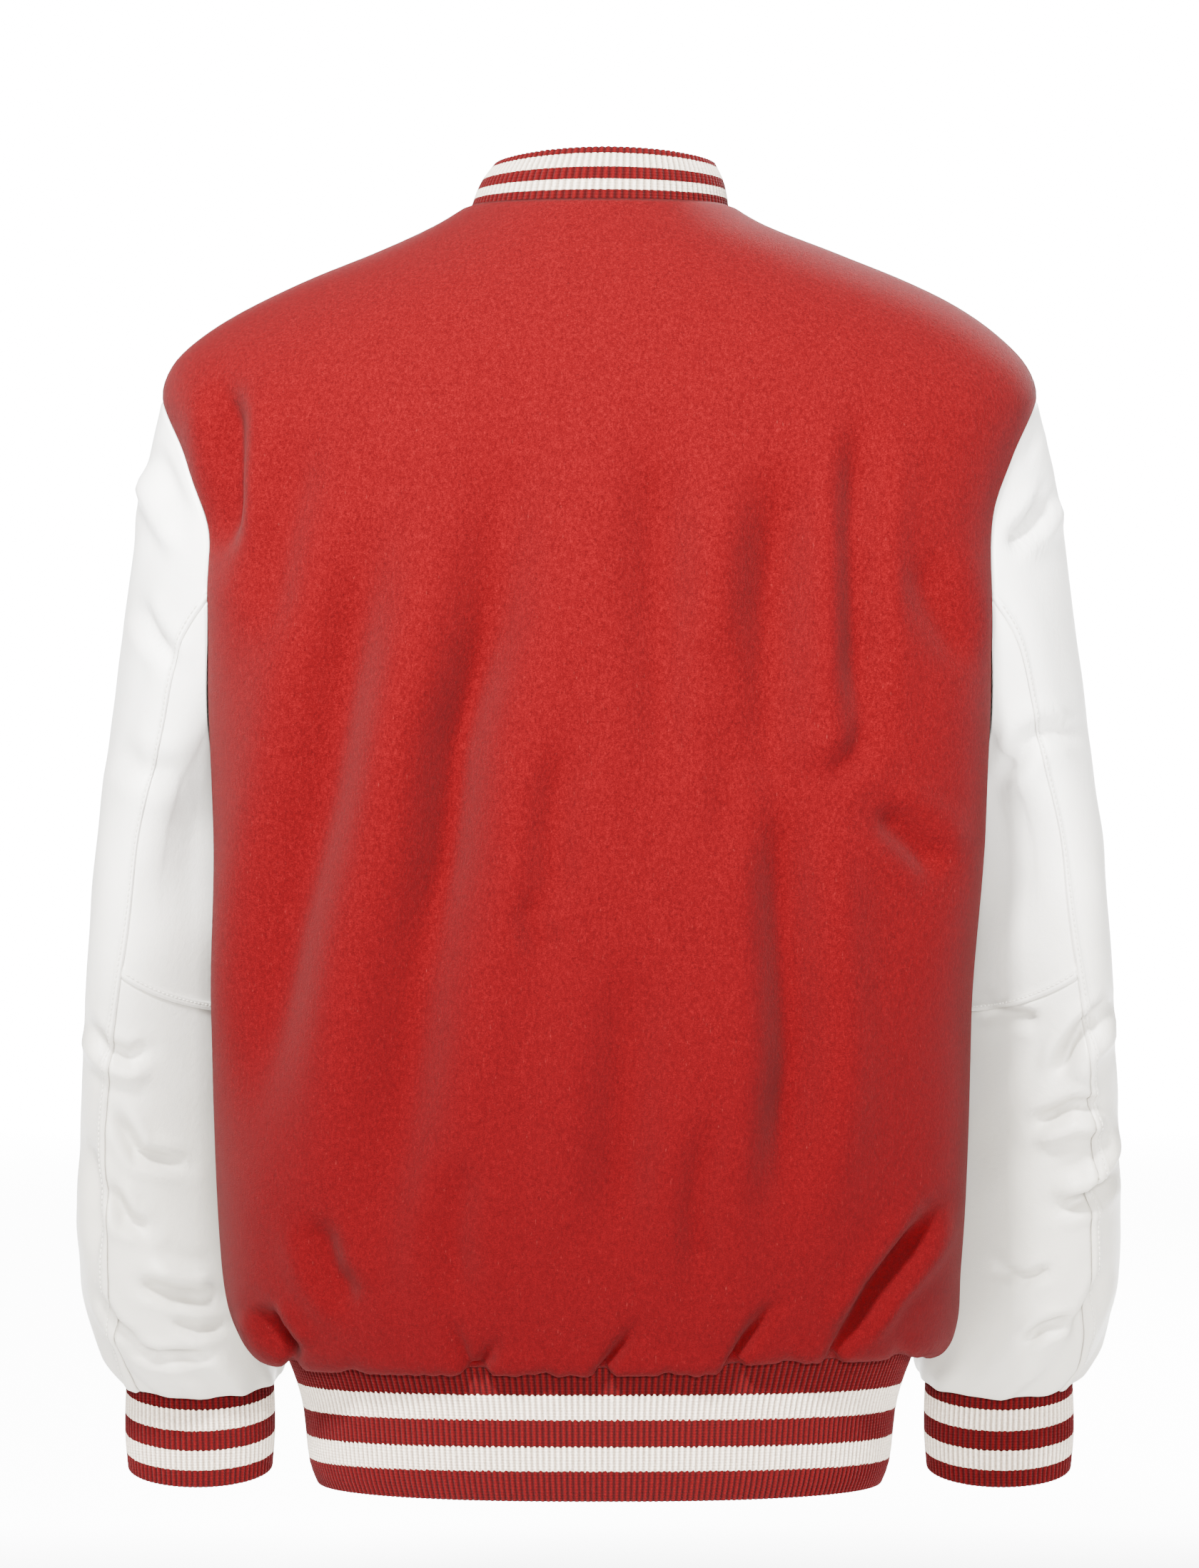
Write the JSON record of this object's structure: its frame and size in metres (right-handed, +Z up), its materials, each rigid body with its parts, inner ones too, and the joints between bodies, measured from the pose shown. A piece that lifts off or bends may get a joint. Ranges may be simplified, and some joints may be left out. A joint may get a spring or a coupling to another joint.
{
  "type": "varsity jacket",
  "caption": "Hollow worn varsity jacket: wool body, leather sleeves, striped rib collar, cuffs and waistband, snapped front.",
  "frame": {"origin": "centre of the neck opening, at the height of the back neck seam", "axes": "+Z up towards the collar, -Y towards the front, +X towards the wearer's left"},
  "size_m": [0.5926, 0.3127, 0.7566],
  "materials": {
    "wool": "matt melton nap",
    "leather": "smooth satin",
    "rib": "matt rib knit, with two white stripes",
    "snap": "satin"
  },
  "bodies": {
    "root": {"back": "wool", "front_left": "wool", "front_right": "wool", "tab_left": "wool", "tab_right": "wool", "sleeve_top_left": "leather", "sleeve_upper_left": "leather", "sleeve_lower_left": "leather", "sleeve_top_right": "leather", "sleeve_upper_right": "leather", "sleeve_lower_right": "leather", "collar": "rib", "waistband": "rib", "cuff_left": "rib", "cuff_right": "rib", "snap_1": "snap", "snap_2": "snap", "snap_3": "snap", "snap_4": "snap", "snap_5": "snap", "snap_6": "snap", "snap_7": "snap"}
  },
  "joints": []
}
